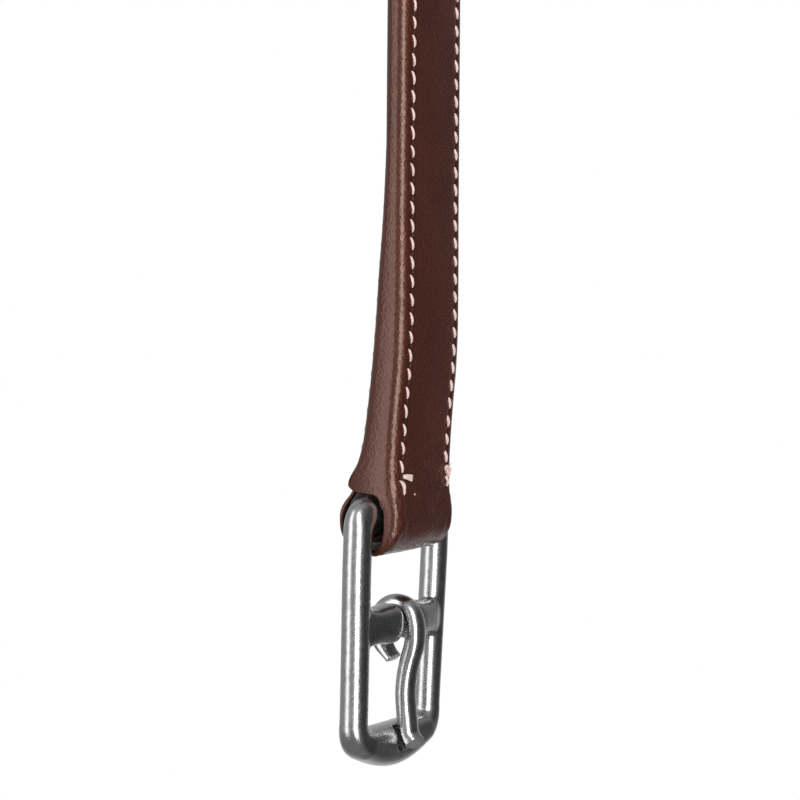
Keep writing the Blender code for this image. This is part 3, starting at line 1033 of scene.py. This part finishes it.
def centre_bar():
    """Two barrel-shaped stubs that flare into the side bars, and a round neck between them."""
    stations = ((16.0, 5.6, 2.2, 0.4), (14.2, 4.8, 2.6, 0.4), (12.8, 4.1, 3.0, 0.4),
                (10.5, 3.9, 3.4, 0.45), (8.5, 4.1, 3.7, 0.5), (6.5, 4.35, 4.0, 0.5),
                (4.8, 4.45, 4.15, 0.6), (4.0, 4.35, 4.1, 0.6), (3.4, 3.9, 3.75, 0.55),
                (3.05, 3.1, 3.05, 0.4), (2.9, NECK_RADIUS, NECK_RADIUS, 0.0))
    rings = []
    for x, high, deep, drop in stations + tuple((-x, *more) for x, *more in stations[::-1]):
        square = 1.0 - 0.25 * step_between(2.2, 3.4, high)
        centre = Vector((x, CENTRE_BAR_Y, CENTRE_BAR_Z + drop))
        rings.append(
            round_ring(centre, Vector((0, 0, 1)), Vector((0, 1, 0)), high, deep, 40, square)
        )
    return solid("centre_bar_form", rings)


def tongue_notch():
    """What is cut from the landing for the tongue's tip to lie in."""
    rings = []
    for z, wide in ((-40.0, 2.8), (-47.0, 2.8), (-50.4, 2.75), (-51.3, 2.4)):
        centre = Vector((0, -5.9, z))
        rings.append(
            [tuple(centre + Vector((x, y, 0))) for x, y in rounded_box(wide, 4.2, 0.9, 5)]
        )
    return solid("tongue_notch_form", rings)


def evaluated_mesh(obj):
    bpy.context.view_layer.update()
    graph = bpy.context.evaluated_depsgraph_get()
    return bpy.data.meshes.new_from_object(obj.evaluated_get(graph))


def make_buckle(look):
    """The casting: ring and bar in one skin, with soft inner corners and a notch."""
    ring, bar, notch = buckle_ring(), centre_bar(), tongue_notch()
    cut = ring.modifiers.new("notch", "BOOLEAN")
    cut.operation = "DIFFERENCE"
    cut.object = notch
    ring_mesh = evaluated_mesh(ring)
    both = bmesh.new()
    both.from_mesh(ring_mesh)
    both.from_mesh(bar.data)
    data = bpy.data.meshes.new("cast_buckle")
    both.to_mesh(data)
    both.free()
    for form in (ring, bar, notch):
        bpy.data.objects.remove(form, do_unlink=True)
    buckle = bpy.data.objects.new("cast_buckle", data)
    bpy.context.scene.collection.objects.link(buckle)
    skin = buckle.modifiers.new("skin", "REMESH")
    skin.mode = "VOXEL"
    skin.voxel_size = 0.21 * MM
    ease = buckle.modifiers.new("ease", "SMOOTH")
    ease.factor = 0.5
    ease.iterations = 22
    buckle.data = evaluated_mesh(buckle)
    buckle.modifiers.clear()
    buckle.data.transform(Matrix.Rotation(REST_LEAN, 4, "X"))
    buckle.data.transform(Matrix.Translation(Vector((0, BAR_Y, BAR_Z)) * MM))
    buckle.data.materials.clear()
    buckle.data.materials.append(look)
    buckle.data.shade_smooth()
    return buckle


def tongue_line():
    """The tongue's middle line: its cut tail, up round the neck, and down to its tip."""
    nodes = [Vector(p) for p in ((-0.05, -31.5), (1.6, -29.95), (2.95, -28.1))]
    for step in range(6):
        angle = math.radians(-30 + 135 * step / 5)
        y = CENTRE_BAR_Y + EYE_CENTRELINE * math.cos(angle)
        z = CENTRE_BAR_Z + EYE_CENTRELINE * math.sin(angle)
        nodes.append(Vector((y, z)))
    shank = (
        (-3.5, -20.2), (-4.75, -21.8), (-5.4, -24.6), (-5.3, -28.0), (-4.4, -31.5),
        (-3.75, -34.7), (-3.5, -38.4), (-3.8, -41.9), (-4.25, -45.0), (-4.8, -47.8), (-6.1, -49.5),
    )
    return through(nodes + [Vector(p) for p in shank], 8)


def make_tongue(look):
    shape = Shape()
    line = tongue_line()
    lean = Matrix.Rotation(REST_LEAN, 3, "X")
    pivot = Vector((0, CENTRE_BAR_Y, CENTRE_BAR_Z))
    rings = []
    for i, point in enumerate(line):
        along = (line[min(i + 1, len(line) - 1)] - line[max(i - 1, 0)]).normalized()
        up = Vector((0, -along.y, along.x))
        centre = Vector((0, point.x, point.y))
        chisel = 1 - step_between(3, 18, i)
        ring = round_ring(
            centre, Vector((1, 0, 0)), up, TONGUE_HALF_WIDTH,
            TONGUE_HALF_THICKNESS * (1 - 0.5 * chisel), 40, 0.92 - 0.3 * chisel,
        )
        if i == len(line) - 1:
            # The tip is cut off at a slant.
            ring = [tuple(Vector(p) + Vector((0, along.x, along.y)) * 0.5 * p[0]) for p in ring]
        rings.append([tuple(PIVOT + lean @ (Vector(p) - pivot)) for p in ring])
    shape.tube(rings)
    tongue = shape.build("bent_tongue", [look])
    edge = tongue.modifiers.new("edge", "BEVEL")
    edge.width = 0.25 * MM
    edge.segments = 3
    edge.limit_method = "ANGLE"
    edge.angle_limit = math.radians(50)
    tongue.data = evaluated_mesh(tongue)
    tongue.modifiers.clear()
    tongue.data.set_sharp_from_angle(angle=math.radians(50))
    return tongue


# ---------------------------------------------------------------- studio


CAMERA_AT = Vector((-305.1, BAR_Y - 185.72, BAR_Z + 21.5))
YAW, PITCH_UP, ROLL_BY = (math.radians(a) for a in (58.69, 0.73, 0.46))
RIGHT = Vector((math.cos(YAW), -math.sin(YAW), 0))


def make_camera():
    level = math.cos(PITCH_UP)
    ahead = Vector((math.sin(YAW) * level, math.cos(YAW) * level, math.sin(PITCH_UP)))
    up = RIGHT.cross(ahead)
    turned = RIGHT * math.cos(ROLL_BY) + up * math.sin(ROLL_BY)
    upright = up * math.cos(ROLL_BY) - RIGHT * math.sin(ROLL_BY)
    data = bpy.data.cameras.new("camera")
    data.lens, data.sensor_width = 72.0, 36.0
    data.clip_start = 0.001
    camera = bpy.data.objects.new("camera", data)
    bpy.context.scene.collection.objects.link(camera)
    camera.matrix_world = Matrix.Translation(CAMERA_AT * MM) @ Matrix(
        (turned, upright, -ahead)
    ).transposed().to_4x4()
    bpy.context.scene.camera = camera


def from_camera(turn):
    """A level direction from the object, turned from the camera towards the picture's right."""
    back = Vector((-math.sin(YAW), -math.cos(YAW), 0))
    angle = math.radians(turn)
    return back * math.cos(angle) + RIGHT * math.sin(angle)


def make_softbox(name, turn, height, distance, wide, tall, glow):
    data = bpy.data.lights.new(name, "AREA")
    data.shape = "RECTANGLE"
    data.size, data.size_y = wide, tall
    data.energy = glow * math.pi * wide * tall
    light = bpy.data.objects.new(name, data)
    bpy.context.scene.collection.objects.link(light)
    centre = Vector((0, BAR_Y * MM, BAR_Z * MM))
    light.location = centre + from_camera(turn) * distance + Vector((0, 0, height))
    light.rotation_mode = "QUATERNION"
    light.rotation_quaternion = (light.location - centre).to_track_quat("Z", "Y")
    light.visible_camera = False
    return light


def make_world():
    """White to the camera. Reflections see a grey room that is dark on one side and low down,
    with a lighter backdrop behind the object."""
    world = bpy.data.worlds.new("studio")
    bpy.context.scene.world = world
    world.use_nodes = True
    tree = world.node_tree
    nodes, links = tree.nodes, tree.links
    nodes.clear()
    ray = nodes.new("ShaderNodeLightPath")
    toward = nodes.new("ShaderNodeTexCoord").outputs["Generated"]

    def facing(direction):
        node = nodes.new("ShaderNodeVectorMath")
        node.operation = "DOT_PRODUCT"
        node.inputs[1].default_value = direction
        links.new(toward, node.inputs[0])
        return node.outputs["Value"]

    def mapped(value, *ends):
        node = nodes.new("ShaderNodeMapRange")
        for i, end in enumerate(ends):
            node.inputs[i + 1].default_value = end
        links.new(value, node.inputs[0])
        return node

    ramp = nodes.new("ShaderNodeValToRGB")
    lit, dark = ramp.color_ramp.elements
    lit.position, lit.color = 0.35, (0.4, 0.4, 0.41, 1)
    dark.position, dark.color = 0.9, (0.06, 0.06, 0.063, 1)
    links.new(facing(from_camera(85)), ramp.inputs[0])
    room, white = nodes.new("ShaderNodeBackground"), nodes.new("ShaderNodeBackground")
    height = nodes.new("ShaderNodeSeparateXYZ")
    links.new(toward, height.inputs[0])
    low = mapped(height.outputs[2], -0.5, -0.1, 0.55, 1.0)
    shaded = nodes.new("ShaderNodeVectorMath")
    shaded.operation = "SCALE"
    links.new(ramp.outputs[0], shaded.inputs[0])
    links.new(low.outputs[0], shaded.inputs["Scale"])
    behind = (from_camera(180) + Vector((0, 0, -0.36))).normalized()
    backdrop = mapped(facing(behind), 0.72, 0.97, 0.0, 0.5)
    backdrop.interpolation_type = "SMOOTHSTEP"
    both = nodes.new("ShaderNodeVectorMath")
    both.operation = "ADD"
    links.new(shaded.outputs[0], both.inputs[0])
    links.new(backdrop.outputs[0], both.inputs[1])
    links.new(both.outputs[0], room.inputs[0])
    white.inputs[0].default_value = (1, 1, 1, 1)
    white.inputs[1].default_value = 1.0
    mix, out = nodes.new("ShaderNodeMixShader"), nodes.new("ShaderNodeOutputWorld")
    links.new(ray.outputs["Is Camera Ray"], mix.inputs[0])
    links.new(room.outputs[0], mix.inputs[1])
    links.new(white.outputs[0], mix.inputs[2])
    links.new(mix.outputs[0], out.inputs[0])


def make_floor():
    shape = Shape()
    rings = []
    for radius, drop in ((1500, 0), (1500, -4), (1495, -6), (20, -6)):
        rings.append(
            round_ring(Vector((0, 0, -620 + drop)), Vector((1, 0, 0)), Vector((0, 1, 0)),
                       radius, radius, 96)
        )
    shape.tube(rings)
    look = Nodes("floor", (0.86, 0.86, 0.86), 0.8)
    grain = look.noise(240, 3.0)
    look.set(look.shader, "Normal", look.bump(grain, 0.05))
    floor = shape.build("studio_floor", [look.material])
    floor.visible_glossy = False


def main():
    cover = leather_look("cover_leather", (0.041, 0.0088, 0.0042), 0.26, 0.014, 1.7)
    lining = leather_look("lining_leather", (0.013, 0.006, 0.005), 0.85, 0.02, 1.2)
    keeper = leather_look("keeper_leather", (0.038, 0.0125, 0.0075), 0.32, 0.012, 1.7)
    webbing = webbing_look("core_webbing", (0.012, 0.011, 0.011))
    thread = thread_look("thread", (0.6, 0.45, 0.41))
    steel = steel_look("buckle_steel", (0.56, 0.56, 0.565), 0.27, 0.012)
    bright = steel_look("tongue_steel", (0.58, 0.58, 0.585), 0.25, 0.012)

    place(make_cover(cover), "strap", "cover_leather", "cover_leather")
    place(make_core(webbing), "strap", "core_webbing", "core_webbing")
    place(make_back_strip(lining), "strap", "lining_leather", "back_strip")
    place(make_lining(lining), "strap", "lining_leather", "bar_lining")
    place(make_wedge(lining), "strap", "lining_leather", "fold_wedge")
    place(make_keeper(keeper, thread), "strap", "keeper_leather", "roll_keeper")
    for side, word in ((-1, "left"), (1, "right")):
        for on_back, face in ((False, "front"), (True, "back")):
            row = make_row(f"{face}_stitches_{word}", thread, side, on_back)
            place(row, "strap", "thread", f"{face}_thread_{word}")
    place(make_left_end(thread), "strap", "thread", "back_tack_left")
    place(make_right_end(thread), "strap", "thread", "back_tack_right")
    place(make_buckle(steel), "frame", "buckle_steel", "buckle_frame")
    place(make_tongue(bright), "tongue", "tongue_steel", "buckle_tongue")

    make_floor()
    make_camera()
    make_world()
    make_softbox("left_softbox", -60, 0.15, 1.15, 0.5, 2.0, 2.0)
    make_softbox("front_softbox", 11, 0.15, 1.25, 0.5, 2.0, 5.6)
    fill = make_softbox("fill_light", 20, 0.5, 1.3, 1.2, 1.6, 2.0)
    fill.visible_glossy = False
    bpy.context.scene.view_settings.view_transform = "Standard"


main()
